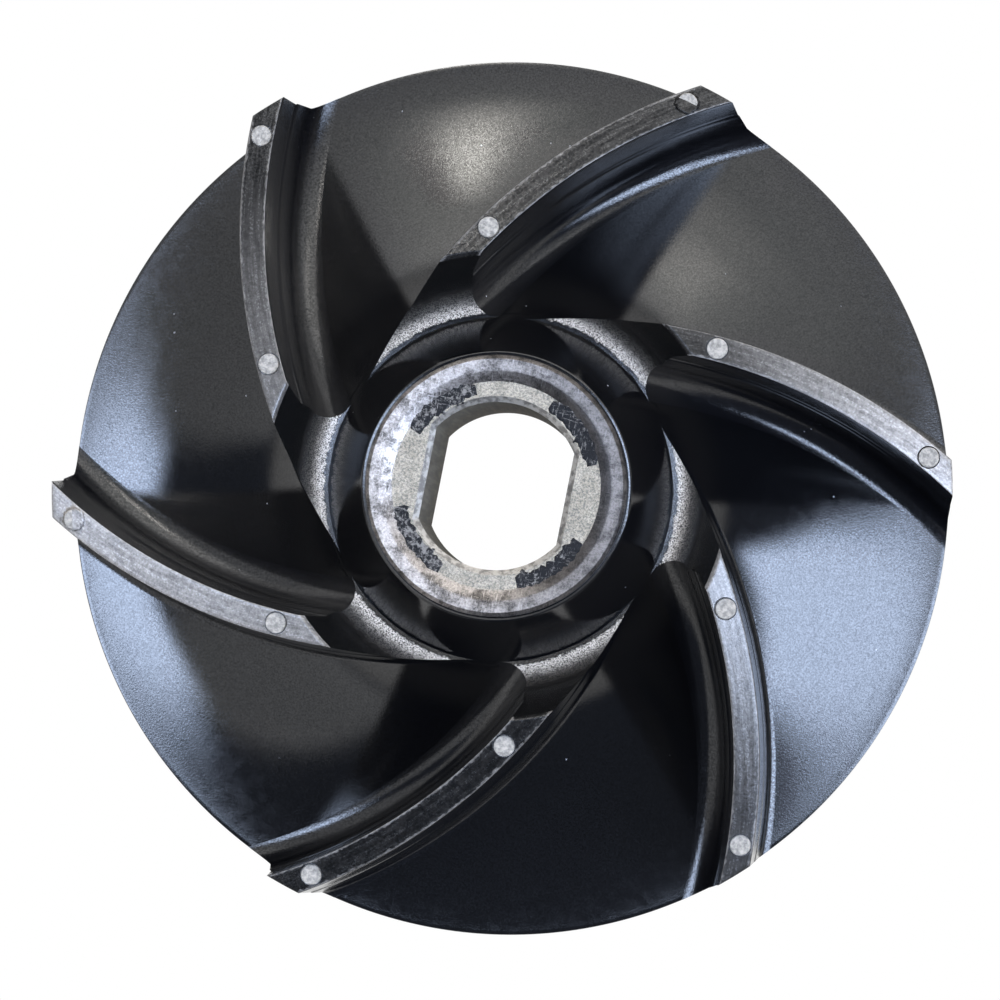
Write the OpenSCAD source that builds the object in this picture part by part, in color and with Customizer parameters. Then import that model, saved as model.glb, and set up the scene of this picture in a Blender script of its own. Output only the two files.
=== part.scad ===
// Coolant pump impeller wheel: a semi-open moulded wheel with backward-curved blades
// and a metal insert with a double-D bore. The wheel's axis is Z, its back plane is z = 0,
// and the blades point to +Z. Lengths are in millimetres.

/* [Wheel] */
// Outer diameter over the disc and the blade tips
wheel_d = 65; // [64:0.5:66]
// Thickness of the disc at its rim
rim_t = 2.5; // [2:0.1:3]
// Radius of the arc that carries the disc's front face from the rim up to the hub
floor_arc_r = 22.75; // [22.5:0.05:23]
// Wall thickness of the disc behind that arc
disc_wall = 2.85; // [2.6:0.05:3.2]
// Slope of the hub cone above the horizontal, in degrees
hub_cone_angle = 60; // [58:1:62]

/* [Blades] */
// Number of blades
blade_count = 6; // [5:1:7]
// Radius of the arc that each blade follows, seen from above
blade_arc_r = 39.6; // [39.4:0.1:39.8]
// Distance from the wheel's axis to the centre of that arc
blade_arc_offset = 29.2; // [29:0.1:29.4]
// Direction of the first blade's arc centre, in degrees from +X
first_blade_angle = -7.3; // [-10:0.1:0]
// Thickness of a blade at its top
blade_t = 1.9; // [1.6:0.1:2.2]
// Draft of the blade walls, in degrees
blade_draft = 2; // [1:0.5:3]
// Height of the blade tip above the rim's front edge
tip_height = 12.7; // [11:0.1:14]
// Rise of the blade top towards the hub, in degrees
land_slope = 16.8; // [15:0.1:18]
// Radius of the scooped root of each blade, where it runs down to the hub cone
root_scoop_r = 3.25; // [2.5:0.05:3.5]
// Slope of the root scoop at its foot, in degrees
root_scoop_start = 10; // [5:1:15]
// Slope of the blade's inner edge above the scoop, in degrees
inner_edge_slope = 63.5; // [60:0.5:68]

/* [Ejector pin marks] */
// Diameter of each mark
pin_mark_d = 1.6; // [1.2:0.1:1.8]
// Distance of the outer marks from the wheel's axis
outer_mark_r = 30.85; // [29:0.05:31]
// Distance of the inner marks from the wheel's axis
inner_mark_r = 18.5; // [18:0.1:20]

/* [Hub and insert] */
// Outer diameter of the metal insert
insert_d = 18.65; // [18:0.05:19]
// Height of the insert's front face above the back plane
insert_top = 20.05; // [20:0.05:20.5]
// Height of the hub's and the insert's back face above the back plane
hub_back = 6; // [5:0.1:7]
// Height of the plastic hub's front edge above the back plane
hub_top = 19.4; // [19:0.1:19.6]
// Diameter of the shaft bore over its round sides
bore_d = 12; // [11.5:0.1:12.2]
// Distance across the two flats of the bore
bore_flats = 10; // [9.5:0.1:10.2]
// Width of the chamfer at each end of the bore
bore_chamfer = 0.4; // [0.2:0.05:0.5]
// Diameter of the recessed seat in the insert's front face
seat_d = 14.9; // [14.5:0.1:15]
// Depth of the recessed seat
seat_depth = 0.4; // [0.3:0.05:0.5]
// Width of the bevel round the seat
seat_bevel = 0.75; // [0.5:0.05:0.8]

/* [Keys between wheel and insert] */
// Number of moulded keys that fill the slots in the insert
key_count = 4; // [3:1:5]
// Arc of each key, in degrees
key_arc = 45; // [30:1:50]
// Inner diameter of the ring of keys
key_d = 13.1; // [12.9:0.1:13.5]
// Height of the bottom of the lock ring above the back plane
lock_ring_z = 10.5; // [9:0.1:11]
// Height of the lock ring that fills the insert's groove
lock_ring_h = 4; // [3:0.1:5]
// Inner diameter of the lock ring
lock_ring_d = 14.4; // [14.2:0.1:14.6]

/* [Hidden] */
BLADES = [for (i = [1:blade_count]) str("blade_", i)];

$fn = 96;
plastic = "#202024";
metal = "#a8a7a2";
cut = 1; // how far a cutter runs past the solid that it cuts
wheel_r = wheel_d / 2;
bore_r = bore_d / 2;
insert_r = insert_d / 2;
seat_r = seat_d / 2;
edge_bevel = 0.3;
key_rim = 0.05; // metal left between a key and the bevel round the seat

// The front face's arc: its centre stands over the rim, so that it meets the rim level.
arc_centre = [wheel_r, rim_t + floor_arc_r];
// Where the hub cone leaves that arc
hub_foot = arc_centre + floor_arc_r * [-sin(hub_cone_angle), -cos(hub_cone_angle)];
hub_edge_r = hub_foot.x - (hub_top - hub_foot.y) / tan(hub_cone_angle);

// The blade's inner edge: an arc from the hub's foot, then a straight line up to the land.
scoop_centre = hub_foot + root_scoop_r * [-sin(root_scoop_start), cos(root_scoop_start)];
scoop_end = scoop_centre + root_scoop_r * [sin(inner_edge_slope), -cos(inner_edge_slope)];
land_inner_r = scoop_end.x
    + (land_z(scoop_end.x) - scoop_end.y) / (tan(inner_edge_slope) + tan(land_slope));

// Height of the blade's top at a distance r from the wheel's axis
function land_z(r) = rim_t + tip_height + (wheel_r - r) * tan(land_slope);

// Turn about the arc's centre, from the line to the wheel's axis, of a point on the blade's
// middle line that is r from the wheel's axis
function arc_turn(r) =
    acos((blade_arc_r ^ 2 + blade_arc_offset ^ 2 - r ^ 2) / (2 * blade_arc_r * blade_arc_offset));

// A point on the blade's middle line, for a blade whose arc centre lies on +X
function on_blade(r) = [
    blade_arc_offset - blade_arc_r * cos(arc_turn(r)),
    blade_arc_r * sin(arc_turn(r))
];

// Everything in front of the disc's face, as a half section
module front_space() {
    translate(arc_centre) circle(r = floor_arc_r);
}

// Outer part of the disc: it follows the front arc, and its back is flat near the rim
module back_disc() {
    color(plastic)
    rotate_extrude()
    difference() {
        intersection() {
            translate(arc_centre) circle(r = floor_arc_r + disc_wall);
            translate([hub_foot.x, 0]) square([wheel_r - hub_foot.x, arc_centre.y]);
        }
        front_space();
        translate([hub_foot.x - cut, hub_foot.y]) square([2 * cut, arc_centre.y]);
    }
}

// The keys and the ring that lock the moulding and the insert together; a cutter for the
// insert's slots runs past the seat
module lock_shape(past_seat = 0) {
    key_r = key_d / 2;
    key_h = insert_top - seat_depth - lock_ring_z;
    rotate_extrude()
    translate([lock_ring_d / 2, lock_ring_z])
    square([insert_r + edge_bevel - lock_ring_d / 2, lock_ring_h]);

    for (i = [0:key_count - 1])
        rotate([0, 0, (i + 0.5) * 360 / key_count - key_arc / 2])
        rotate_extrude(angle = key_arc)
        translate([key_r, lock_ring_z])
        square([seat_r - key_rim - key_r, key_h + past_seat]);
}

// Middle of the moulding: the cone round the insert, the boss behind it, and the keys
module hub_boss() {
    color(plastic)
    union() {
        rotate_extrude()
        polygon([
            [insert_r, hub_back],
            [hub_foot.x, hub_back],
            [hub_foot.x, hub_foot.y],
            [hub_edge_r, hub_top],
            [insert_r, hub_top]
        ]);
        lock_shape();
    }
}

// Half section of the space that the blades fill, above the disc's face
module blade_half_section() {
    difference() {
        intersection() {
            polygon([
                [hub_foot.x, 0],
                hub_foot,
                scoop_end,
                [land_inner_r, land_z(land_inner_r)],
                [wheel_r, land_z(wheel_r)],
                [wheel_r, 0]
            ]);
            front_space();
        }
        translate(scoop_centre) circle(r = root_scoop_r);
    }
}

// Long curved wall with drafted sides, about the blade's arc centre
module blade_wall() {
    wall_top = land_z(scoop_end.x);
    draft_half = wall_top * tan(blade_draft) / 2;
    base_half = blade_t / 2 + draft_half;
    top_half = blade_t / 2 - draft_half;
    start_turn = arc_turn(hub_foot.x) / 2;
    end_turn = arc_turn(wheel_r) + 5;
    translate([blade_arc_offset, 0, 0])
    rotate([0, 0, 180 - end_turn])
    rotate_extrude(angle = end_turn - start_turn, $fn = 180)
    polygon([
        [blade_arc_r - base_half, 0],
        [blade_arc_r + base_half, 0],
        [blade_arc_r + top_half, wall_top],
        [blade_arc_r - top_half, wall_top]
    ]);
}

// A level disc where an ejector pin pushed on the sloping land
module pin_mark(r, height) {
    translate([on_blade(r).x, on_blade(r).y, land_z(r) - height])
    cylinder(d = pin_mark_d, h = height);
}

// One blade, turned to its place
module blade(i) {
    mark_sink = 0.05;
    mark_post = 1;
    color(plastic)
    rotate([0, 0, first_blade_angle + (i - 1) * 360 / blade_count])
    difference() {
        union() {
            intersection() {
                rotate_extrude() blade_half_section();
                blade_wall();
            }
            for (r = [inner_mark_r, outer_mark_r])
                translate([0, 0, -mark_sink]) pin_mark(r, mark_post);
        }
        for (r = [inner_mark_r, outer_mark_r])
            translate([0, 0, mark_post - mark_sink]) pin_mark(r, mark_post);
    }
}

// Half section of the insert before the bore is cut
module insert_half_section() {
    polygon([
        [0, hub_back],
        [insert_r - edge_bevel, hub_back],
        [insert_r, hub_back + edge_bevel],
        [insert_r, insert_top - edge_bevel],
        [insert_r - edge_bevel, insert_top],
        [seat_r + seat_bevel, insert_top],
        [seat_r, insert_top - seat_depth],
        [0, insert_top - seat_depth]
    ]);
}

// The bore's outline: a circle with two flats that face along X
module bore_outline() {
    intersection() {
        circle(r = bore_r);
        square([bore_flats, bore_d + cut], center = true);
    }
}

// Cutter for the chamfer at a bore end; it widens towards +Z and starts at z = 0
module chamfer_cutter() {
    wide = bore_chamfer + cut;
    intersection() {
        cylinder(r1 = bore_r, r2 = bore_r + wide, h = wide);
        rotate([90, 0, 0])
        linear_extrude(bore_d + 4 * cut, center = true)
        polygon([
            [-bore_flats / 2, 0],
            [bore_flats / 2, 0],
            [bore_flats / 2 + wide, wide],
            [-bore_flats / 2 - wide, wide]
        ]);
    }
}

// Metal insert that drives the wheel
module hub_insert() {
    seat_z = insert_top - seat_depth;
    color(metal)
    difference() {
        rotate_extrude() insert_half_section();
        lock_shape(past_seat = cut);
        translate([0, 0, hub_back - cut])
        linear_extrude(insert_top - hub_back + 2 * cut) bore_outline();
        translate([0, 0, seat_z - bore_chamfer]) chamfer_cutter();
        translate([0, 0, hub_back + bore_chamfer]) mirror([0, 0, 1]) chamfer_cutter();
    }
}

back_disc();
hub_boss();
for (i = [1:blade_count])
    blade(i);
hub_insert();
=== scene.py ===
"""Looks for a coolant pump impeller wheel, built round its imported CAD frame.

Meshes are worked out in millimetres in the part's own frame and scaled to metres at the end.
The wheel's axis is Z, and the blades point to +Z.
"""
import math

import bmesh
import bpy
import numpy as np
from mathutils import Matrix, Vector


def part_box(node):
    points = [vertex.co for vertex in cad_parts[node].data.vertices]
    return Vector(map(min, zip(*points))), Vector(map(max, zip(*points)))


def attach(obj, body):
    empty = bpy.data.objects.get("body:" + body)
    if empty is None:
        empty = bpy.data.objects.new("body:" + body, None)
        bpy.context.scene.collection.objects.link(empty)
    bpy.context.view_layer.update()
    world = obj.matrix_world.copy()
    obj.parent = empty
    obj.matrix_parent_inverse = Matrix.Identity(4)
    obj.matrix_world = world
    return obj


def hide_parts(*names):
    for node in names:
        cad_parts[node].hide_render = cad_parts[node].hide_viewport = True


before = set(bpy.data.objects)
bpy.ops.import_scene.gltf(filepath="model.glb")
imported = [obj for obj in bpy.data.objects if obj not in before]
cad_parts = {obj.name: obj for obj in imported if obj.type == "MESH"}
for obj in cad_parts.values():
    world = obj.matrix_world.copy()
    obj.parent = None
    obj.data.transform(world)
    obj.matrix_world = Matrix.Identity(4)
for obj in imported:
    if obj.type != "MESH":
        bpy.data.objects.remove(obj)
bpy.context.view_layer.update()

MM = 0.001

# ---------------------------------------------------------------- sizes from the frame, in mm
disc_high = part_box("back_disc")[1] / MM
insert_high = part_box("hub_insert")[1] / MM
hub_low, hub_high = (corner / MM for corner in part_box("hub_boss"))
WHEEL_R = disc_high.x
INSERT_R = insert_high.x
INSERT_TOP = insert_high.z
HUB_BACK = hub_low.z
HUB_FOOT_R = hub_high.x
HUB_FOOT_Z = disc_high.z

# ---------------------------------------------------------------- sizes shared with the CAD, in mm
RIM_T = 2.5
FLOOR_ARC_R = 22.75
DISC_WALL = 2.85
HUB_CONE = math.radians(60)
HUB_TOP = 19.4
BLADES = 6
BLADE_ARC_R = 39.6
BLADE_ARC_OFFSET = 29.2
FIRST_BLADE = math.radians(-7.3)
BLADE_T = 1.9
TIP_HEIGHT = 12.7
LAND_SLOPE = math.radians(16.8)
MARK_D = 1.6
MARK_RADII = (18.5, 30.85)
BORE_R = 6.0
BORE_HALF_FLATS = 5.0
BORE_CHAMFER = 0.4
SEAT_R = 7.45
SEAT_DEPTH = 0.4
SEAT_BEVEL = 0.75
KEYS = 4
KEY_ARC = math.radians(45)
KEY_INNER_R = (6.4, 6.4, 6.4, 6.45)
KEY_OVERLAP = 0.22
RING_DISH = 0.06

# ---------------------------------------------------------------- finer shapes, in mm
SCOOP_FOOT_R = 12.45
SCOOP_R = 3.25
SCOOP_START = math.radians(10)
INNER_EDGE_SLOPE = math.radians(63.5)
EDGE_ROUND = 0.14
LAND_START_ROUND = 0.35
CONCAVE_SIDE = {"toward": -1, "foot": 0.75, "fillet_r": 1.7, "upper": 0.26, "ledge": 0.1}
CONVEX_SIDE = {"toward": 1, "foot": 0.45, "fillet_r": 0.7, "upper": 0.2, "ledge": 0.06}
LEDGE_SHARE = 0.55
LAND_INNER_R = 16.5
BLADE_SINK = 0.4
RIM_FRONT_ROUND = 0.08
RIM_BACK_ROUND = 0.25
HUB_EDGE_ROUND = 0.1
BACK_EDGE_ROUND = 0.3
RING_EDGE_ROUND = 0.28
MARK_GAP_R = MARK_D / 2 + 0.02
MARK_GAP_DEPTH = 0.25
MARK_POST_R = MARK_D / 2 - 0.05
MARK_POST_DEPTH = 0.5
MARK_POST_ROUND = 0.06
MARK_TOP_DEPTH = 0.04
KEY_RAGGEDNESS = 0.09
KEY_PROUD = 0.035
KEY_BORDER_DEPTH = 0.05
KEY_SINK = 0.3
# How far each blade's land is painted pale near its inner and its outer end, from 0 to 1: partly
# rubbed wear, partly a painted highlight where the land catches the light
WEAR_AND_SHEEN_RADII = (18, 29)
LAND_WEAR_AND_SHEEN = ((0.0, 0.03), (0.32, 0.0), (0.6, 0.88), (0.0, 0.0), (0.5, 0.1), (0.05, 0.95))
BLADE_SIDE, BLADE_LAND, BLADE_SCOOP = range(3)
INSERT_RING, INSERT_SEAT, INSERT_CHAMFER, INSERT_BORE = range(4)


# ---------------------------------------------------------------- shape of the moulding
def floor_z(r):
    """Height of the disc's front face, or of the hub cone, at a distance r from the axis."""
    arc = RIM_T + FLOOR_ARC_R - np.sqrt(np.maximum(FLOOR_ARC_R**2 - (WHEEL_R - r) ** 2, 0))
    cone = HUB_FOOT_Z + (HUB_FOOT_R - r) * math.tan(HUB_CONE)
    return np.where(r < HUB_FOOT_R, cone, arc)


def land_z(r):
    """Height of the blade's worn top."""
    return RIM_T + TIP_HEIGHT + (WHEEL_R - r) * math.tan(LAND_SLOPE)


def scoop_z(r):
    """Height of the blade's inner edge: a scoop that rises from the hub cone, then a slope."""
    foot_z = float(floor_z(SCOOP_FOOT_R))
    centre_r = SCOOP_FOOT_R - SCOOP_R * math.sin(SCOOP_START)
    centre_z = foot_z + SCOOP_R * math.cos(SCOOP_START)
    end_r = centre_r + SCOOP_R * math.sin(INNER_EDGE_SLOPE)
    end_z = centre_z - SCOOP_R * math.cos(INNER_EDGE_SLOPE)
    arc = centre_z - np.sqrt(np.maximum(SCOOP_R**2 - (r - centre_r) ** 2, 0))
    slope = end_z + (r - end_r) * math.tan(INNER_EDGE_SLOPE)
    return np.where(r < end_r, arc, slope)


def soft_min(a, b, width):
    """The lower of two heights, with the corner between them rounded over width."""
    h = np.clip(0.5 + 0.5 * (b - a) / width, 0, 1)
    return b * (1 - h) + a * h - width * h * (1 - h)


def top_z(r):
    """Height of the blade at its middle, with rounded ends."""
    top = soft_min(scoop_z(r), land_z(r), LAND_START_ROUND)
    past_round = np.maximum(r - (WHEEL_R - EDGE_ROUND), 0)
    drop = EDGE_ROUND - np.sqrt(np.maximum(EDGE_ROUND**2 - past_round**2, 0))
    return top - drop


def turn(r, u):
    """Angle at the axis from the arc's centre to a point r from the axis and u from that centre."""
    cosine = (r**2 + BLADE_ARC_OFFSET**2 - u**2) / (2 * r * BLADE_ARC_OFFSET)
    return np.arccos(np.clip(cosine, -1, 1))


def ball_height(r, ball_r):
    """Height of the centre of a ball that rests on the disc's face or on the hub cone."""
    arc_r = FLOOR_ARC_R - ball_r
    arc = RIM_T + FLOOR_ARC_R - np.sqrt(np.maximum(arc_r**2 - (WHEEL_R - r) ** 2, 0))
    join_r = WHEEL_R - arc_r * math.sin(HUB_CONE)
    join_z = RIM_T + FLOOR_ARC_R - arc_r * math.cos(HUB_CONE)
    cone = join_z + (join_r - r) * math.tan(HUB_CONE)
    return np.where(r > WHEEL_R, RIM_T + ball_r, np.where(r < join_r, cone, arc))


def rolled_fillet(side):
    """Fillet left by a ball that rolls along a blade's foot, for a blade whose arc centre is on +X.

    Gives one (r, u, z) set of arrays for each step from the wall down to the floor.
    """
    ball_r = side["fillet_r"]
    toward = side["toward"]
    ball_u = BLADE_ARC_R + toward * (BLADE_T / 2 + side["foot"] + ball_r)
    samples = 260
    roll_steps = 15
    r = np.linspace(SCOOP_FOOT_R - 3.5, WHEEL_R + 2, samples)
    angle = turn(r, ball_u)
    centre = np.stack([r * np.cos(angle), r * np.sin(angle), ball_height(r, ball_r)], 1)
    to_wall = centre - (BLADE_ARC_OFFSET, 0, 0)
    to_wall[:, 2] = 0
    to_wall *= -toward / np.linalg.norm(to_wall, axis=1)[:, None]
    slope = np.arcsin(np.clip((WHEEL_R - r) / (FLOOR_ARC_R - ball_r), 0, math.sin(HUB_CONE)))
    outward = np.stack([np.cos(angle), np.sin(angle)], 1) * np.sin(slope)[:, None]
    to_floor = -np.concatenate([outward, np.cos(slope)[:, None]], 1)
    opening = np.arccos(np.sum(to_wall * to_floor, axis=1))[:, None]
    steps = []
    for t in np.linspace(0, 1, roll_steps):
        blend = np.sin((1 - t) * opening) * to_wall + np.sin(t * opening) * to_floor
        point = centre + ball_r * blend / np.sin(opening)
        u = np.hypot(point[:, 0] - BLADE_ARC_OFFSET, point[:, 1])
        steps.append((np.hypot(point[:, 0], point[:, 1]), u, point[:, 2]))
    return steps


FILLETS = {side["toward"]: rolled_fillet(side) for side in (CONCAVE_SIDE, CONVEX_SIDE)}


def side_outline(side, r):
    """One blade side as (distance out from the land's edge, depth below the land), top first."""
    land = float(land_z(r))
    edge_u = BLADE_ARC_R + side["toward"] * BLADE_T / 2
    fillet = []
    for fillet_r, fillet_u, fillet_z in FILLETS[side["toward"]]:
        out = (np.interp(r, fillet_r, fillet_u) - edge_u) * side["toward"]
        fillet.append((out, land - np.interp(r, fillet_r, fillet_z)))
    corner = np.linspace(0, math.pi / 2, 5)
    edge = np.stack([EDGE_ROUND * (np.sin(corner) - 1), EDGE_ROUND * (1 - np.cos(corner))], 1)
    step = side["ledge"]
    upper = side["upper"]
    foot = fillet[0][1]
    ledge = LEDGE_SHARE * foot
    ledge_end = ledge + 2 * step
    knots_out = [0, upper, upper + 0.3 * step, upper + step, side["foot"]]
    knots_depth = [EDGE_ROUND, ledge, ledge + 0.6 * step, ledge_end, foot]
    above_ledge = np.linspace(EDGE_ROUND, ledge, 9)[1:]
    below_ledge = np.linspace(ledge_end, foot, 7)[1:]
    depths = np.concatenate([above_ledge, knots_depth[2:4], below_ledge])
    wall = np.stack([np.interp(depths, knots_depth, knots_out), depths], 1)
    return np.concatenate([edge, wall, fillet[1:]])


def clip_outline(outline, depth):
    """The outline with every point above a depth moved to where the outline crosses it."""
    width_there = np.interp(depth, outline[:, 1], outline[:, 0])
    clipped = outline.copy()
    above = outline[:, 1] < depth
    clipped[above] = (width_there, depth)
    return clipped


def blade_rows():
    """Distances from the axis at which a blade's cross-section is worked out."""
    scoop_end = 16.2
    land_start = 17.2
    end_start = WHEEL_R - EDGE_ROUND
    scoop = np.linspace(SCOOP_FOOT_R, scoop_end, 34)
    corner = np.linspace(scoop_end, land_start, 15)[1:]
    length = np.linspace(land_start, end_start, 66)[1:]
    end = end_start + EDGE_ROUND * np.sin(np.linspace(0, math.pi / 2, 5))[1:]
    return np.concatenate([scoop, corner, length, end])


def blade_section(r):
    """Closed loop of (u, z) points round the blade at a distance r from the axis."""
    floor = float(floor_z(r))
    land = float(land_z(r))
    top = max(float(top_z(r)), floor)
    half = BLADE_T / 2
    concave = clip_outline(side_outline(CONCAVE_SIDE, r), land - top)
    convex = clip_outline(side_outline(CONVEX_SIDE, r), land - top)
    left = np.stack([BLADE_ARC_R - half - concave[::-1, 0], land - concave[::-1, 1]], 1)
    right = np.stack([BLADE_ARC_R + half + convex[:, 0], land - convex[:, 1]], 1)
    across = np.linspace(left[-1, 0], right[0, 0], 10)[1:-1]
    flat = np.stack([across, np.full(len(across), top)], 1)
    sink = min(BLADE_SINK, 2 * (WHEEL_R - r))
    under = np.array([[right[-1, 0], floor - sink], [left[0, 0], floor - sink]])
    return np.concatenate([left, flat, right, under])


# ---------------------------------------------------------------- mesh helpers
def make_object(name, points, faces, smooth_angle=35):
    """A mesh object from points in mm. Edges sharper than smooth_angle stay crisp."""
    mesh = bpy.data.meshes.new(name)
    mesh.from_pydata([tuple(p * MM) for p in np.asarray(points, float)], [], faces)
    obj = bpy.data.objects.new(name, mesh)
    bpy.context.scene.collection.objects.link(obj)
    clean(obj, smooth_angle)
    return obj


def clean(obj, smooth_angle=35):
    """Merges double points, turns faces outward and marks sharp edges."""
    bm = bmesh.new()
    bm.from_mesh(obj.data)
    bmesh.ops.remove_doubles(bm, verts=bm.verts, dist=0.002 * MM)
    bmesh.ops.dissolve_degenerate(bm, edges=bm.edges, dist=0.001 * MM)
    bmesh.ops.recalc_face_normals(bm, faces=bm.faces)
    limit = math.radians(smooth_angle)
    for edge in bm.edges:
        edge.smooth = edge.calc_face_angle(0) < limit
    for face in bm.faces:
        face.smooth = True
    bm.to_mesh(obj.data)
    bm.free()


def skin(rows, n, closed=False):
    """Faces between neighbouring rows of n points; closed joins the last row to the first."""
    faces = []
    for i in range(rows if closed else rows - 1):
        a = i * n
        b = (i + 1) % rows * n
        for j in range(n):
            k = (j + 1) % n
            faces.append((a + j, a + k, b + k, b + j))
    return faces


def revolve(name, outline, steps=360):
    """A closed ring from a closed (r, z) outline turned about Z."""
    angles = np.linspace(0, 2 * math.pi, steps, endpoint=False)
    points = [(r * math.cos(a), r * math.sin(a), z) for a in angles for r, z in outline]
    return make_object(name, points, skin(steps, len(outline), closed=True))


def boolean(obj, cutter, operation):
    """Applies one exact boolean and deletes the cutter."""
    modifier = obj.modifiers.new("cut", "BOOLEAN")
    modifier.object = cutter
    modifier.operation = operation
    modifier.solver = "EXACT"
    depsgraph = bpy.context.evaluated_depsgraph_get()
    result = bpy.data.meshes.new_from_object(obj.evaluated_get(depsgraph))
    obj.modifiers.clear()
    obj.data = result
    bpy.data.objects.remove(cutter)


def turned_solid(name, x, y, outline, steps=64):
    """A solid of revolution about a vertical line; outline is open and runs from bottom to top."""
    angles = np.linspace(0, 2 * math.pi, steps, endpoint=False)
    points = [(x + r * math.cos(a), y + r * math.sin(a), z) for r, z in outline for a in angles]
    faces = [tuple(range(steps))[::-1]] + skin(len(outline), steps)
    faces.append(tuple(range(len(points) - steps, len(points))))
    return make_object(name, points, faces)


# ---------------------------------------------------------------- pieces
def make_disc():
    """Disc with its trumpet face, plain rim and hollowed back."""
    front = np.linspace(HUB_FOOT_R, WHEEL_R - RIM_FRONT_ROUND, 90)
    outline = [(r, float(floor_z(r))) for r in front]
    outline += [(WHEEL_R - 0.02, RIM_T - 0.02), (WHEEL_R, RIM_T - RIM_FRONT_ROUND)]
    outline += [(WHEEL_R, RIM_T / 2 - 0.05), (WHEEL_R, RIM_BACK_ROUND)]
    outline += [(WHEEL_R - 0.07, 0.07), (WHEEL_R - RIM_BACK_ROUND, 0)]
    back_arc_r = FLOOR_ARC_R + DISC_WALL
    centre_z = RIM_T + FLOOR_ARC_R
    flat_r = WHEEL_R - math.sqrt(back_arc_r**2 - centre_z**2)
    for r in np.linspace(flat_r, HUB_FOOT_R, 60):
        outline.append((r, centre_z - math.sqrt(back_arc_r**2 - (WHEEL_R - r) ** 2)))
    return revolve("disc_moulding", outline)


def make_hub():
    """Cone round the insert and the boss behind it."""
    edge_r = HUB_FOOT_R - (HUB_TOP - HUB_FOOT_Z) / math.tan(HUB_CONE)
    outline = [(INSERT_R, HUB_TOP - 0.03), (edge_r - 0.06, HUB_TOP)]
    outline += [(edge_r + 0.03, HUB_TOP - 0.06)]
    for r in np.linspace(edge_r + HUB_EDGE_ROUND, HUB_FOOT_R, 24):
        outline.append((r, HUB_FOOT_Z + (HUB_FOOT_R - r) * math.tan(HUB_CONE)))
    outline += [(HUB_FOOT_R, HUB_FOOT_Z - 3), (HUB_FOOT_R, HUB_BACK + BACK_EDGE_ROUND)]
    outline += [(HUB_FOOT_R - 0.09, HUB_BACK + 0.09), (HUB_FOOT_R - BACK_EDGE_ROUND, HUB_BACK)]
    outline += [(INSERT_R, HUB_BACK)]
    return revolve("hub_moulding", outline)


def blade_point(r, u, z, arc_azimuth):
    """Point r from the axis and u from the arc's centre, for an arc centre at the given azimuth."""
    angle = turn(r, u) + arc_azimuth
    return (r * math.cos(angle), r * math.sin(angle), z)


def make_blade(index):
    """One blade with its fillets, ledges, scooped root and two ejector pin marks."""
    arc_azimuth = FIRST_BLADE + index * 2 * math.pi / BLADES
    rows = blade_rows()
    points = []
    for r in rows:
        section = blade_section(r)
        points += [blade_point(r, u, z, arc_azimuth) for u, z in section]
    n = len(section)
    faces = [tuple(range(n))] + skin(len(rows), n)
    faces.append(tuple(range(len(points) - n, len(points)))[::-1])
    blade = make_object(f"blade_{index + 1}_moulding", points, faces)
    marks = []
    for number, r in enumerate(MARK_RADII, 1):
        x, y, _ = blade_point(r, BLADE_ARC_R, 0, arc_azimuth)
        level = float(land_z(r))
        gap = [(MARK_GAP_R, level - MARK_GAP_DEPTH), (MARK_GAP_R, level + 3)]
        cutter = turned_solid("cutter", x, y, gap)
        boolean(blade, cutter, "DIFFERENCE")
        post = [
            (MARK_POST_R, level - MARK_POST_DEPTH),
            (MARK_POST_R, level - MARK_TOP_DEPTH - MARK_POST_ROUND),
            (MARK_POST_R - MARK_POST_ROUND, level - MARK_TOP_DEPTH),
        ]
        marks.append(turned_solid(f"blade_{index + 1}_mark_{number}", x, y, post))
    clean(blade)
    mark_blade_regions(blade, arc_azimuth, LAND_WEAR_AND_SHEEN[index])
    return blade, marks


def mark_blade_regions(blade, arc_azimuth, land_wear_and_sheen):
    """Sets each face's material region, and stores the land's wear and painted highlight and the
    distance from the middle line.
    """
    centre_x = BLADE_ARC_OFFSET * math.cos(arc_azimuth)
    centre_y = BLADE_ARC_OFFSET * math.sin(arc_azimuth)
    mesh = blade.data
    across = mesh.attributes.new("across", "FLOAT", "POINT")
    wear_and_sheen = mesh.attributes.new("wear_and_sheen", "FLOAT", "POINT")
    for vertex in mesh.vertices:
        x, y, _ = vertex.co / MM
        u = math.hypot(x - centre_x, y - centre_y)
        across.data[vertex.index].value = u - BLADE_ARC_R
        wear_and_sheen.data[vertex.index].value = float(np.interp(math.hypot(x, y), WEAR_AND_SHEEN_RADII, land_wear_and_sheen))
    for face in mesh.polygons:
        x, y, z = face.center / MM
        r = math.hypot(x, y)
        on_top = abs(z - float(top_z(r))) < 0.05 and face.normal.z > 0.3
        if on_top:
            face.material_index = BLADE_LAND if r > LAND_INNER_R else BLADE_SCOOP
        else:
            face.material_index = BLADE_SIDE


def bore_radius(angle):
    """Distance from the axis to the double-D bore's wall."""
    return min(BORE_R, BORE_HALF_FLATS / max(abs(math.cos(angle)), 1e-6))


def insert_angles():
    """Even angles round the insert, with the bore's four corners among them."""
    corner = math.acos(BORE_HALF_FLATS / BORE_R)
    full = 2 * math.pi
    corners = [corner, math.pi - corner, math.pi + corner, full - corner, full + corner]
    angles = []
    for start, end in zip(corners, corners[1:]):
        steps = round(360 * (end - start) / full)
        angles += list(np.linspace(start, end, steps + 1)[:-1])
    return angles


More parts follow.
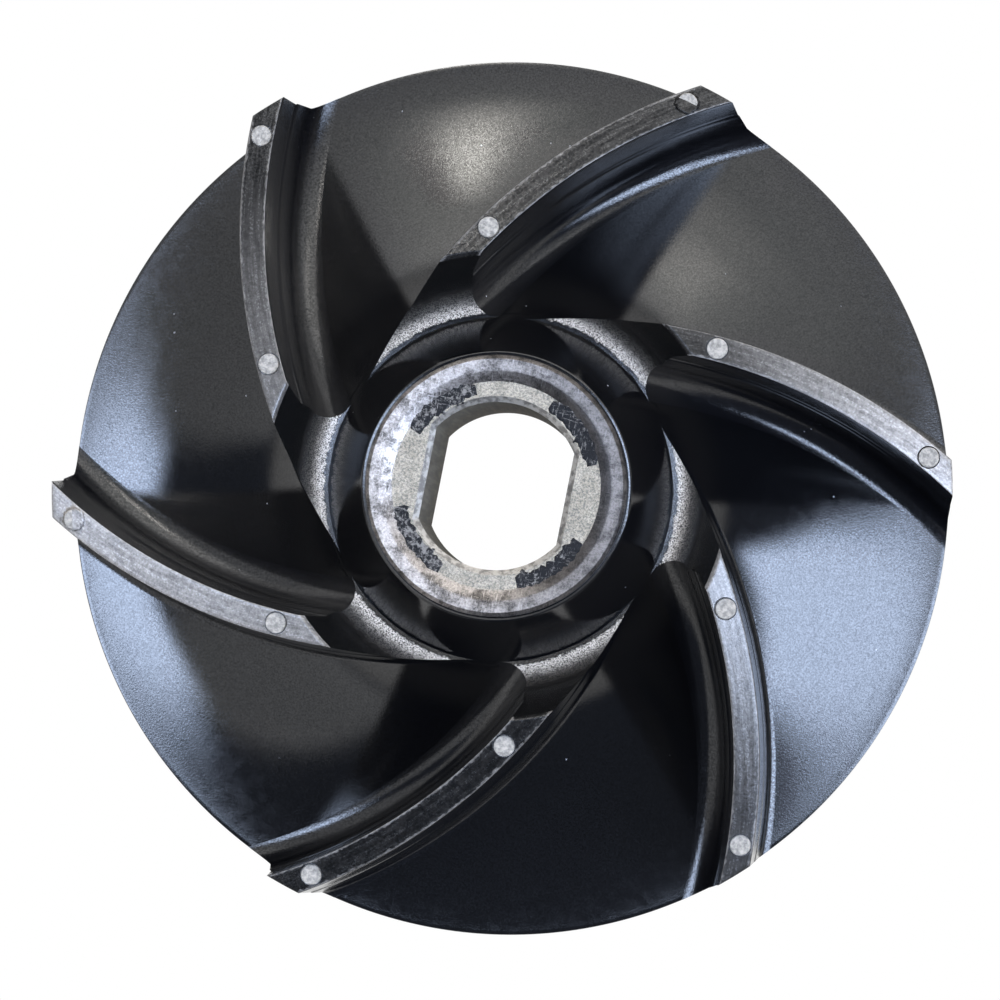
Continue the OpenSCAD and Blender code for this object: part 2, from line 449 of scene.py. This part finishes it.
def make_insert():
    """Metal bush: bore with flats, chamfers, recessed seat, bevel and a slightly dished ring."""
    seat_z = INSERT_TOP - SEAT_DEPTH
    bevel_rise = SEAT_DEPTH - RING_DISH
    ring_in = SEAT_R + SEAT_BEVEL * 1.06
    ring_width = INSERT_R - RING_EDGE_ROUND - ring_in
    outer = [(INSERT_R - 0.06, INSERT_TOP - 0.2), (INSERT_R, INSERT_TOP - 0.3)]
    base = [(INSERT_R, HUB_BACK + BACK_EDGE_ROUND), (INSERT_R - BACK_EDGE_ROUND, HUB_BACK)]
    points = []
    angles = insert_angles()
    for a in angles:
        bore = bore_radius(a)
        mouth = bore + BORE_CHAMFER / (1 if bore == BORE_R else abs(math.cos(a)))
        seat = [(mouth + (SEAT_R - mouth) * t, seat_z) for t in np.linspace(0, 1, 7)]
        bevel = [(SEAT_R + SEAT_BEVEL * t, seat_z + bevel_rise * t) for t in (0.04, 0.5, 0.96)]
        ring = [(ring_in + ring_width * t, INSERT_TOP - RING_DISH * (1 - t)) for t in (0, 0.5, 1)]
        low_mouth = [(mouth, HUB_BACK), (bore, HUB_BACK + BORE_CHAMFER)]
        wall = [(bore, z) for z in np.linspace(HUB_BACK + 2, seat_z - 2, 6)]
        wall.append((bore, seat_z - BORE_CHAMFER))
        outline = seat + bevel + ring + outer + base + low_mouth + wall
        points += [(r * math.cos(a), r * math.sin(a), z) for r, z in outline]
    faces = skin(len(angles), len(outline), closed=True)
    bush = make_object("insert_bush", points, faces, smooth_angle=30)
    for face in bush.data.polygons:
        x, y, z = face.center / MM
        r = math.hypot(x, y)
        if r > SEAT_R:
            face.material_index = INSERT_RING
        elif z > seat_z - 0.02 and face.normal.z > 0.9:
            face.material_index = INSERT_SEAT
        elif z > seat_z - BORE_CHAMFER:
            face.material_index = INSERT_CHAMFER
        else:
            face.material_index = INSERT_BORE
    return bush


def key_faces(steps, lanes):
    """Faces of a thin curved plate: its top, its bottom, and the wall round its border."""
    top = [
        (i * lanes + j, (i + 1) * lanes + j, (i + 1) * lanes + j + 1, i * lanes + j + 1)
        for i in range(steps - 1)
        for j in range(lanes - 1)
    ]
    below = steps * lanes
    bottom = [tuple(below + v for v in face[::-1]) for face in top]
    border = [i * lanes for i in range(steps)]
    border += [(steps - 1) * lanes + j for j in range(1, lanes)]
    border += [i * lanes + lanes - 1 for i in range(steps - 2, -1, -1)]
    border += list(range(lanes - 2, 0, -1))
    wall = [(a, b, b + below, a + below) for a, b in zip(border, border[1:] + border[:1])]
    return top + bottom + wall


def make_key(index):
    """One plastic key in the insert's face: an arc with ragged sides, a hair proud of the metal."""
    steps = 90
    lanes = 9
    tooth = 4
    fade_rate = 8
    seat_z = INSERT_TOP - SEAT_DEPTH
    bevel_slope = (SEAT_DEPTH - RING_DISH) / SEAT_BEVEL
    middle = (index + 0.5) * 2 * math.pi / KEYS
    angles = middle + np.linspace(-0.5, 0.5, steps) * KEY_ARC
    rng = np.random.default_rng(11 + index)
    coarse = np.arange(0, steps + tooth, tooth)
    inner_rag, outer_rag = (
        np.interp(np.arange(steps), coarse, rng.normal(0, KEY_RAGGEDNESS, len(coarse)))
        for _ in range(2)
    )
    points = []
    for i, a in enumerate(angles):
        end_fade = min(1, fade_rate * i / steps, fade_rate * (steps - 1 - i) / steps)
        inner = KEY_INNER_R[index] + inner_rag[i] + 0.12 * (1 - end_fade)
        outer = SEAT_R + KEY_OVERLAP + 0.9 * outer_rag[i] - 0.2 * (1 - end_fade)
        for j in range(lanes):
            r = inner + (outer - inner) * j / (lanes - 1)
            inside = 0 < j < lanes - 1 and 0 < i < steps - 1
            crown = KEY_PROUD if inside else -KEY_BORDER_DEPTH
            climb = max(0, r - SEAT_R) * bevel_slope
            points.append((r * math.cos(a), r * math.sin(a), seat_z + climb + crown))
    points += [(x, y, seat_z - KEY_SINK) for x, y, _ in points]
    return make_object(f"insert_key_{index + 1}", points, key_faces(steps, lanes), smooth_angle=50)


# ---------------------------------------------------------------- materials
class Surface:
    """A Principled material with short calls for the nodes that this scene uses."""

    def __init__(self, name):
        self.material = bpy.data.materials.new(name)
        self.material.use_nodes = True
        self.nodes = self.material.node_tree.nodes
        self.links = self.material.node_tree.links
        self.shader = self.nodes["Principled BSDF"]
        place = self.nodes.new("ShaderNodeTexCoord").outputs["Object"]
        self.mm = self.vector("SCALE", place, scale=1 / MM)

    def vector(self, operation, a, b=None, scale=None):
        """Vector maths on a socket, with a constant vector or a scale."""
        node = self.nodes.new("ShaderNodeVectorMath")
        node.operation = operation
        self.links.new(a, node.inputs[0])
        if b is not None:
            node.inputs[1].default_value = b
        if scale is not None:
            node.inputs["Scale"].default_value = scale
        return node.outputs["Value" if operation == "LENGTH" else "Vector"]

    def noise(self, per_mm, detail=3.0, roughness=0.55, stretch=None):
        """Noise from 0 to 1; stretch scales the three axes before the noise is looked up."""
        place = self.mm if stretch is None else self.vector("MULTIPLY", self.mm, stretch)
        node = self.nodes.new("ShaderNodeTexNoise")
        node.inputs["Scale"].default_value = per_mm
        node.inputs["Detail"].default_value = detail
        node.inputs["Roughness"].default_value = roughness
        self.links.new(place, node.inputs["Vector"])
        return node.outputs["Fac"]

    def cells(self, per_mm):
        """Distance to the nearest of many scattered points, and that point's random colour."""
        node = self.nodes.new("ShaderNodeTexVoronoi")
        node.inputs["Scale"].default_value = per_mm
        self.links.new(self.mm, node.inputs["Vector"])
        return node.outputs["Distance"], node.outputs["Color"]

    def radius(self):
        """Distance from the wheel's axis in mm."""
        return self.vector("LENGTH", self.vector("MULTIPLY", self.mm, (1, 1, 0)))

    def along(self, axis):
        """Position in mm along a direction."""
        node = self.nodes.new("ShaderNodeVectorMath")
        node.operation = "DOT_PRODUCT"
        self.links.new(self.mm, node.inputs[0])
        node.inputs[1].default_value = axis
        return node.outputs["Value"]

    def attribute(self, name):
        """A number that the mesh stores at each of its points."""
        node = self.nodes.new("ShaderNodeAttribute")
        node.attribute_name = name
        return node.outputs["Fac"]

    def strokes(self, across, per_mm_across, per_mm_along):
        """Noise drawn out along a blade; across is the distance from its middle line in mm."""
        place = self.nodes.new("ShaderNodeCombineXYZ")
        self.links.new(self.maths("MULTIPLY", across, per_mm_across), place.inputs["X"])
        self.links.new(self.maths("MULTIPLY", self.radius(), per_mm_along), place.inputs["Y"])
        node = self.nodes.new("ShaderNodeTexNoise")
        node.inputs["Scale"].default_value = 1.0
        node.inputs["Detail"].default_value = 4.0
        node.inputs["Roughness"].default_value = 0.65
        self.links.new(place.outputs["Vector"], node.inputs["Vector"])
        return node.outputs["Fac"]

    def remap(self, value, from_low, from_high, to_low=0.0, to_high=1.0, smooth=True):
        """A value moved from one range to another and clamped there."""
        node = self.nodes.new("ShaderNodeMapRange")
        node.interpolation_type = "SMOOTHSTEP" if smooth else "LINEAR"
        numbers = (from_low, from_high, to_low, to_high)
        for name, number in zip(("From Min", "From Max", "To Min", "To Max"), numbers):
            node.inputs[name].default_value = number
        self.links.new(value, node.inputs["Value"])
        return node.outputs["Result"]

    def maths(self, operation, a, b):
        """Maths on two values, each a number or a socket."""
        node = self.nodes.new("ShaderNodeMath")
        node.operation = operation
        for socket, value in zip(node.inputs, (a, b)):
            if isinstance(value, (int, float)):
                socket.default_value = value
            else:
                self.links.new(value, socket)
        return node.outputs["Value"]

    def mix_value(self, share, a, b):
        """Sum of two values; b counts for the given share."""
        rest = self.maths("MULTIPLY", a, 1 - share)
        return self.maths("ADD", rest, self.maths("MULTIPLY", b, share))

    def mix(self, factor, a, b):
        """Colour mix; a and b are colours or sockets."""
        node = self.nodes.new("ShaderNodeMix")
        node.data_type = "RGBA"
        self.links.new(factor, node.inputs["Factor"])
        for socket, value in zip((node.inputs[6], node.inputs[7]), (a, b)):
            if isinstance(value, tuple):
                socket.default_value = (*value, 1)
            else:
                self.links.new(value, socket)
        return node.outputs[2]

    def colour(self, socket):
        """Sets the base colour."""
        self.links.new(socket, self.shader.inputs["Base Color"])

    def rough(self, socket):
        """Sets the roughness."""
        self.links.new(socket, self.shader.inputs["Roughness"])

    def shine(self, socket):
        """Sets the specular level, which stands for pits and polish too fine to model."""
        self.links.new(socket, self.shader.inputs["Specular IOR Level"])

    def bump(self, *layers):
        """Layers of (height from 0 to 1, depth in mm), chained."""
        normal = None
        for height, depth in layers:
            node = self.nodes.new("ShaderNodeBump")
            node.inputs["Distance"].default_value = depth * MM
            self.links.new(height, node.inputs["Height"])
            if normal is not None:
                self.links.new(normal, node.inputs["Normal"])
            normal = node.outputs["Normal"]
        self.links.new(normal, self.shader.inputs["Normal"])

    def dust(self, base):
        """The base colour with sparse pale specks of dust."""
        distance, colour = self.cells(0.55)
        speck = self.remap(distance, 0.05, 0.02)
        kept = self.remap(self.vector("LENGTH", colour), 1.0, 1.05)
        return self.mix(self.maths("MULTIPLY", speck, kept), base, (0.22, 0.22, 0.23))


# Direction towards which the insert's ring is painted darker as shade
PAINTED_SHADE_AXIS = (0.98, 0.19, 0)


def gloss_plastic():
    """Black moulded plastic, polished, with a fine grain and dust."""
    s = Surface("gloss_black_plastic")
    cloud = s.noise(0.35, 4)
    s.colour(s.dust(s.mix(cloud, (0.0014, 0.0014, 0.0018), (0.0026, 0.0026, 0.003))))
    s.rough(s.remap(s.noise(1.3, 5), 0.3, 0.75, 0.08, 0.13))
    s.shine(s.remap(s.noise(7.5, 2, 0.8), 0.34, 0.66, 0.34, 0.68, smooth=False))
    s.bump((s.noise(8.0, 2, 0.8), 0.0045))
    s.shader.inputs["IOR"].default_value = 1.5
    return s.material


def wall_plastic():
    """Blade sides: the same plastic, with draw marks up the wall."""
    s = Surface("drawn_black_plastic")
    cloud = s.noise(0.6, 4)
    s.colour(s.dust(s.mix(cloud, (0.0018, 0.0018, 0.0022), (0.0042, 0.0042, 0.005))))
    s.rough(s.remap(s.noise(1.1, 4, stretch=(1, 1, 0.12)), 0.3, 0.75, 0.12, 0.2))
    s.shine(s.remap(s.noise(7.5, 2, 0.8), 0.36, 0.64, 0.2, 0.7, smooth=False))
    s.bump((s.noise(3.2, 3, stretch=(1, 1, 0.1)), 0.002), (s.noise(8.0, 2, 0.8), 0.009))
    return s.material


def scuffed_land():
    """Blade tops: rubbed plastic, scratched lengthwise, with paler edges and pale stretches that
    are partly wear and partly a painted highlight.
    """
    s = Surface("scuffed_black_plastic")
    across = s.attribute("across")
    blotch = s.remap(s.noise(1.6, 7, 0.75), 0.36, 0.62)
    fine = s.remap(s.noise(6.0, 4, 0.7), 0.36, 0.64)
    strokes = s.remap(s.strokes(across, 3.5, 0.3), 0.40, 0.60)
    grain = s.mix_value(0.45, fine, strokes)
    wander = s.remap(s.noise(3.0, 3), 0.3, 0.7, -0.12, 0.12, smooth=False)
    to_edge = s.maths("SUBTRACT", BLADE_T / 2, s.maths("ABSOLUTE", across, 0))
    rim = s.remap(s.maths("ADD", to_edge, wander), 0.21, 0.08)
    mottle = s.maths("MULTIPLY", blotch, s.maths("ADD", s.maths("MULTIPLY", grain, 0.05), 0.004))
    edges = s.maths("MULTIPLY", rim, s.maths("ADD", s.maths("MULTIPLY", grain, 0.3), 0.16))
    rubbed = s.maths("ADD", s.maths("MULTIPLY", blotch, 0.3), s.maths("MULTIPLY", grain, 0.5))
    # Pale stretches set per blade: partly rubbed wear, partly a painted highlight
    worn = s.maths("MULTIPLY", s.attribute("wear_and_sheen"), s.maths("ADD", rubbed, 0.28))
    pale = s.maths("MAXIMUM", s.maths("MAXIMUM", mottle, edges), worn)
    s.colour(s.mix(pale, (0.004, 0.004, 0.004), (0.31, 0.285, 0.262)))
    s.rough(s.remap(grain, 0.0, 1.0, 0.18, 0.28))
    polish = s.maths("MULTIPLY", s.attribute("wear_and_sheen"), 0.55)
    s.shine(s.maths("ADD", s.remap(grain, 0.0, 1.0, 0.06, 0.42), polish))
    s.bump((s.noise(2.2, 5, 0.65), 0.016), (s.noise(9.0, 3, 0.7), 0.008))
    return s.material


def scoop_plastic():
    """Roots of the blades: coarse-grained plastic, with a pale band by the hub painted on as a
    highlight.
    """
    s = Surface("grained_black_plastic_painted_highlight")
    wobble = s.remap(s.noise(2.5, 3), 0.3, 0.7, -0.12, 0.12, smooth=False)
    place = s.maths("ADD", s.radius(), wobble)
    # Painted highlight: a pale cream band from about 12.7 to 14.9 mm from the axis
    highlight_core = s.maths("MULTIPLY", s.remap(place, 12.7, 12.85), s.remap(place, 13.9, 12.9))
    highlight_skirt = s.maths("MULTIPLY", s.remap(place, 12.7, 13.0), s.remap(place, 14.9, 13.0))
    painted_highlight_band = s.maths("ADD", s.maths("MULTIPLY", highlight_core, 0.75), s.maths("MULTIPLY", highlight_skirt, 0.2))
    grain = s.remap(s.noise(10.0, 2, 0.8), 0.38, 0.62)
    pale = s.maths("MULTIPLY", painted_highlight_band, s.maths("ADD", s.maths("MULTIPLY", grain, 0.95), 0.08))
    s.colour(s.mix(pale, (0.003, 0.003, 0.003), (0.56, 0.50, 0.43)))
    s.rough(s.remap(s.noise(3.0, 4), 0.3, 0.7, 0.16, 0.22))
    s.shine(s.remap(grain, 0.0, 1.0, 0.15, 0.6))
    s.bump((s.noise(11.0, 2, 0.8), 0.012), (s.noise(2.5, 3), 0.005))
    return s.material


def pin_plastic():
    """Ejector pin marks: level discs with a stamped grain, their pale colour a painted highlight.
    """
    s = Surface("pin_mark_plastic")
    grain = s.remap(s.noise(3.0, 5, 0.7), 0.34, 0.66)
    # The pale grey-brown colour is a painted highlight on black plastic
    s.colour(s.mix(grain, (0.13, 0.12, 0.105), (0.32, 0.29, 0.25)))
    s.rough(s.remap(grain, 0.0, 1.0, 0.35, 0.5))
    s.bump((s.noise(3.0, 5, 0.7), 0.035))
    s.shader.inputs["Specular IOR Level"].default_value = 0.25
    return s.material


def ring_metal():
    """Bright ring of the insert: plated, with dark stains and crossing scratches, and painted shade
    that darkens its +x side and, more, its bevel there.
    """
    s = Surface("plated_ring")
    stain = s.remap(s.noise(0.8, 8, 0.7), 0.37, 0.60)
    fine = s.remap(s.noise(6.0, 5, 0.78), 0.36, 0.64)
    scratch_a = s.remap(s.noise(1.0, 6, 0.7, stretch=(9, 0.7, 1)), 0.57, 0.64)
    scratch_b = s.remap(s.noise(1.0, 6, 0.7, stretch=(0.8, 8, 1)), 0.58, 0.66)
    scratch = s.maths("MULTIPLY", s.maths("MAXIMUM", scratch_a, scratch_b), 0.6)
    pale = s.mix(fine, (0.195, 0.177, 0.162), (0.385, 0.345, 0.315))
    dark = s.mix(fine, (0.025, 0.022, 0.02), (0.12, 0.107, 0.095))
    plated = s.mix(scratch, s.mix(stain, dark, pale), (0.46, 0.425, 0.395))
    # Painted shade: the ring darkens towards +x, and its bevel darkens more on that side
    painted_shade = s.remap(s.along(PAINTED_SHADE_AXIS), -8.0, 8.0, 0.0, 0.66)
    on_bevel = s.remap(s.radius(), 8.35, 8.15)
    bevel = s.maths("MULTIPLY", on_bevel, s.remap(painted_shade, 0.3, 0.6, 0.0, 0.6))
    worn = s.mix(painted_shade, plated, (0.02, 0.018, 0.018))
    s.colour(s.mix(bevel, worn, (0.012, 0.011, 0.011)))
    s.rough(s.remap(fine, 0.0, 1.0, 0.30, 0.42))
    s.bump((s.noise(4.0, 6, 0.75), 0.022), (s.noise(1.0, 6, 0.7, stretch=(9, 0.7, 1)), 0.01))
    s.shader.inputs["Metallic"].default_value = 0.85
    return s.material


def seat_metal():
    """Sunk face of the insert: blasted metal with a fine grain."""
    s = Surface("blasted_seat")
    grain = s.remap(s.noise(6.0, 4, 0.78), 0.38, 0.62)
    cloud = s.remap(s.noise(1.1, 4), 0.35, 0.65)
    pale = s.mix(cloud, (0.27, 0.235, 0.18), (0.35, 0.305, 0.24))
    s.colour(s.mix(grain, s.mix(cloud, (0.085, 0.08, 0.066), (0.13, 0.122, 0.10)), pale))
    s.rough(s.remap(grain, 0.0, 1.0, 0.5, 0.65))
    s.bump((s.noise(6.0, 4, 0.78), 0.03))
    s.shader.inputs["Metallic"].default_value = 0.3
    return s.material


def chamfer_metal():
    """Chamfer round the bore: cut metal with fine streaks."""
    s = Surface("cut_chamfer")
    streak = s.remap(s.noise(2.0, 4, 0.6), 0.4, 0.6)
    s.colour(s.mix(streak, (0.20, 0.185, 0.165), (0.46, 0.425, 0.375)))
    s.rough(s.remap(streak, 0.0, 1.0, 0.28, 0.4))
    s.bump((s.noise(4.0, 5, 0.7), 0.01))
    s.shader.inputs["Metallic"].default_value = 0.7
    return s.material


def bore_metal():
    """Bore wall: dull metal with a brown film, its dark colour partly painted shade inside the
    bore.
    """
    s = Surface("bore_metal")
    streak = s.remap(s.noise(2.0, 4, stretch=(1, 1, 0.08)), 0.35, 0.65)
    # Dark colour: brown film, deepened as painted shade for the inside of the bore
    s.colour(s.mix(streak, (0.055, 0.048, 0.036), (0.12, 0.105, 0.082)))
    s.rough(s.remap(streak, 0.0, 1.0, 0.7, 0.85))
    s.bump((s.noise(2.0, 4, stretch=(1, 1, 0.08)), 0.006))
    s.shader.inputs["Specular IOR Level"].default_value = 0.08
    return s.material


def key_plastic():
    """Keys in the insert's face: black plastic smeared over the metal, full of scratches."""
    s = Surface("scratched_key_plastic")
    scratch_a = s.remap(s.noise(1.3, 7, 0.75, stretch=(6, 1, 1)), 0.57, 0.66)
    scratch_b = s.remap(s.noise(1.1, 7, 0.75, stretch=(1, 7, 1)), 0.58, 0.68)
    # Pale patches grow more common towards -x, along the axis of the ring's painted shade
    shift = s.remap(s.along(PAINTED_SHADE_AXIS), -6.0, 6.0, 0.04, -0.05)
    patch = s.remap(s.maths("ADD", s.noise(1.8, 6, 0.75), shift), 0.52, 0.64)
    worn = s.maths("MAXIMUM", s.maths("MAXIMUM", scratch_a, scratch_b), patch)
    s.colour(s.mix(worn, (0.005, 0.005, 0.006), (0.15, 0.14, 0.13)))
    s.rough(s.remap(worn, 0.0, 1.0, 0.4, 0.55))
    s.bump((s.noise(3.0, 6, 0.75), 0.05))
    s.shader.inputs["Specular IOR Level"].default_value = 0.1
    return s.material


# ---------------------------------------------------------------- stage, lights and camera
PHOTO_ROLL = math.radians(11.2)
CAMERA_DISTANCE = 384.6
CAMERA_POLAR = 4.286
CAMERA_AZIMUTH = -37.57
CAMERA_LENS = 189.25
AIM = Vector((-0.35, -0.53, 9.0))

CARD_DISTANCE = 4.0
COOL = (0.80, 0.97, 1.31)
NEUTRAL = (1.0, 1.0, 0.99)
WARM = (1.04, 1.0, 0.93)
ROOM = (0.14, 0.16, 0.205)

# Outlines of the lights as (polar, azimuth) directions in degrees
SOFTBOX_RIGHT = [(1, -60), (20, -40), (47, -39), (80, -12), (48, -3), (18, 5), (3, 28)]
SOFTBOX_LEFT = [
    (5, 174), (12, -170), (23, -157), (34, -157), (31, -176), (43, 170), (27, 161), (11, 158)
]
LAMP_TOP = [(28, 97), (28, 104), (42, 104), (56, 102), (56, 99), (42, 97)]
LAMP_SIDE = [(52, 50), (52, 62), (72, 63), (76, 50)]
WALL_TOP = [
    (2, 40), (3, 130), (30, 166), (60, 168), (88, 165),
    (88, 120), (88, 90), (88, 50), (88, 8), (50, 8)
]
WALL_BRIGHT = [
    (4, 90), (30, 120), (60, 122), (88, 122), (88, 90), (88, 60), (86, 28), (50, 20), (20, 30)
]
WALL_HIGH = [(36, 50), (36, 108), (60, 112), (86, 112), (86, 80), (86, 46), (60, 44)]
WALL_LEFT = [
    (29, -166), (30, -150), (44, -138), (70, -124), (88, -120), (88, -145), (88, -168), (50, -170)
]


def direction(polar_deg, azimuth_deg):
    """Unit vector; the azimuth is counted from the picture's right, anticlockwise."""
    polar = math.radians(polar_deg)
    azimuth = math.radians(azimuth_deg) + PHOTO_ROLL
    return Vector(
        (math.sin(polar) * math.cos(azimuth), math.sin(polar) * math.sin(azimuth), math.cos(polar))
    )


def axes_matrix(side, up, back):
    """Rotation whose columns are the three axes."""
    return Matrix((side, up, back)).transposed().to_4x4()


def glow(name, colour, strength):
    """A plain emitting material."""
    material = bpy.data.materials.new(name)
    material.use_nodes = True
    nodes = material.node_tree.nodes
    emission = nodes.new("ShaderNodeEmission")
    emission.name = "Emission"
    emission.inputs["Color"].default_value = (*colour, 1)
    emission.inputs["Strength"].default_value = strength
    output = nodes["Material Output"]
    material.node_tree.links.new(emission.outputs["Emission"], output.inputs["Surface"])
    return material


def fading_glow(name, colour, strength):
    """Light that the mesh's "fade" attribute dims, added to what is seen through the card."""
    material = glow(name, colour, strength)
    nodes = material.node_tree.nodes
    links = material.node_tree.links
    emission = nodes["Emission"]
    fade = nodes.new("ShaderNodeAttribute")
    fade.attribute_name = "fade"
    level = nodes.new("ShaderNodeMath")
    level.operation = "MULTIPLY"
    level.inputs[1].default_value = strength
    links.new(fade.outputs["Fac"], level.inputs[0])
    links.new(level.outputs["Value"], emission.inputs["Strength"])
    both = nodes.new("ShaderNodeAddShader")
    clear = nodes.new("ShaderNodeBsdfTransparent")
    links.new(emission.outputs["Emission"], both.inputs[0])
    links.new(clear.outputs["BSDF"], both.inputs[1])
    links.new(both.outputs["Shader"], nodes["Material Output"].inputs["Surface"])
    return material


def add_card(name, corners, colour, strength, soft):
    """A far light card, at full level inside, that fades out over its soft edge.

    The corners are directions in which the light has fallen to half its level.
    """
    half_level = [direction(*corner) * CARD_DISTANCE for corner in corners]
    middle = sum(half_level, Vector()) / len(half_level)
    inner = [middle.lerp(point, 1 - soft) for point in half_level]
    outer = [middle.lerp(point, 1 + soft) for point in half_level]
    n = len(corners)
    mesh = bpy.data.meshes.new(name)
    mesh.from_pydata(inner + outer, [], [tuple(range(n))] + skin(2, n))
    fade = mesh.attributes.new("fade", "FLOAT", "POINT")
    for i in range(2 * n):
        fade.data[i].value = 1.0 if i < n else 0.0
    mesh.materials.append(fading_glow(name + "_glow", colour, strength))
    card = bpy.data.objects.new(name, mesh)
    bpy.context.scene.collection.objects.link(card)
    card.visible_camera = False
    card.visible_shadow = False


def add_floor():
    """White light table, which leaves no shadow. It lies a hair below the wheel's flat back."""
    half = 3.0
    low = -0.05 * MM
    mesh = bpy.data.meshes.new("light_table")
    corners = [(-half, -half, low), (half, -half, low), (half, half, low), (-half, half, low)]
    mesh.from_pydata(corners, [], [(0, 1, 2, 3)])
    mesh.materials.append(glow("light_table_glow", (1, 1, 1), 1.0))
    floor = bpy.data.objects.new("light_table", mesh)
    bpy.context.scene.collection.objects.link(floor)


def add_camera():
    """Long lens a little off the wheel's axis, with the picture rolled as in the photograph."""
    camera = bpy.data.cameras.new("camera")
    camera.sensor_width = 36
    camera.lens = CAMERA_LENS
    camera.clip_start = 0.01
    obj = bpy.data.objects.new("camera", camera)
    bpy.context.scene.collection.objects.link(obj)
    aim = Matrix.Rotation(PHOTO_ROLL, 3, "Z") @ (AIM * MM)
    back = direction(CAMERA_POLAR, CAMERA_AZIMUTH)
    picture_up = Vector((-math.sin(PHOTO_ROLL), math.cos(PHOTO_ROLL), 0))
    side = picture_up.cross(back).normalized()
    up = back.cross(side)
    place = aim + back * CAMERA_DISTANCE * MM
    obj.matrix_world = Matrix.Translation(place) @ axes_matrix(side, up, back)
    bpy.context.scene.camera = obj


def add_lights():
    """Two softboxes, two lamps and pale walls round the wheel, and a dim blue room."""
    add_card("softbox_right", SOFTBOX_RIGHT, COOL, 12.5, soft=0.1)
    add_card("softbox_left", SOFTBOX_LEFT, COOL, 13.5, soft=0.08)
    add_card("lamp_top", LAMP_TOP, WARM, 12.0, soft=0.5)
    add_card("lamp_side", LAMP_SIDE, WARM, 1.2, soft=0.4)
    add_card("wall_top", WALL_TOP, NEUTRAL, 0.9, soft=0.06)
    add_card("wall_bright", WALL_BRIGHT, NEUTRAL, 0.75, soft=0.2)
    add_card("wall_high", WALL_HIGH, WARM, 0.9, soft=0.25)
    add_card("wall_left", WALL_LEFT, NEUTRAL, 0.95, soft=0.12)
    world = bpy.data.worlds.new("studio")
    world.use_nodes = True
    background = world.node_tree.nodes["Background"]
    background.inputs["Color"].default_value = (*ROOM, 1)
    bpy.context.scene.world = world


# ---------------------------------------------------------------- build
def dress(piece, materials, slot, *nodes):
    """Gives a piece its materials in slot order, keeping its faces' regions."""
    for material in materials:
        piece.data.materials.append(material)
    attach(piece, "root")
    if nodes:
        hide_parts(*nodes)


add_camera()
gloss = gloss_plastic()
blade_finish = [wall_plastic(), scuffed_land(), scoop_plastic()]
insert_finish = [ring_metal(), seat_metal(), chamfer_metal(), bore_metal()]
pin_finish = [pin_plastic()]
key_finish = [key_plastic()]

dress(make_disc(), [gloss], "wheel_plastic", "back_disc")
dress(make_hub(), [gloss], "wheel_plastic", "hub_boss")
for number in range(BLADES):
    blade, pin_marks = make_blade(number)
    dress(blade, blade_finish, "wheel_plastic", f"blade_{number + 1}")
    for mark in pin_marks:
        dress(mark, pin_finish, "wheel_plastic")
dress(make_insert(), insert_finish, "insert_metal", "hub_insert")
for number in range(KEYS):
    dress(make_key(number), key_finish, "wheel_plastic")

add_floor()
add_lights()
bpy.context.scene.view_settings.view_transform = "Standard"
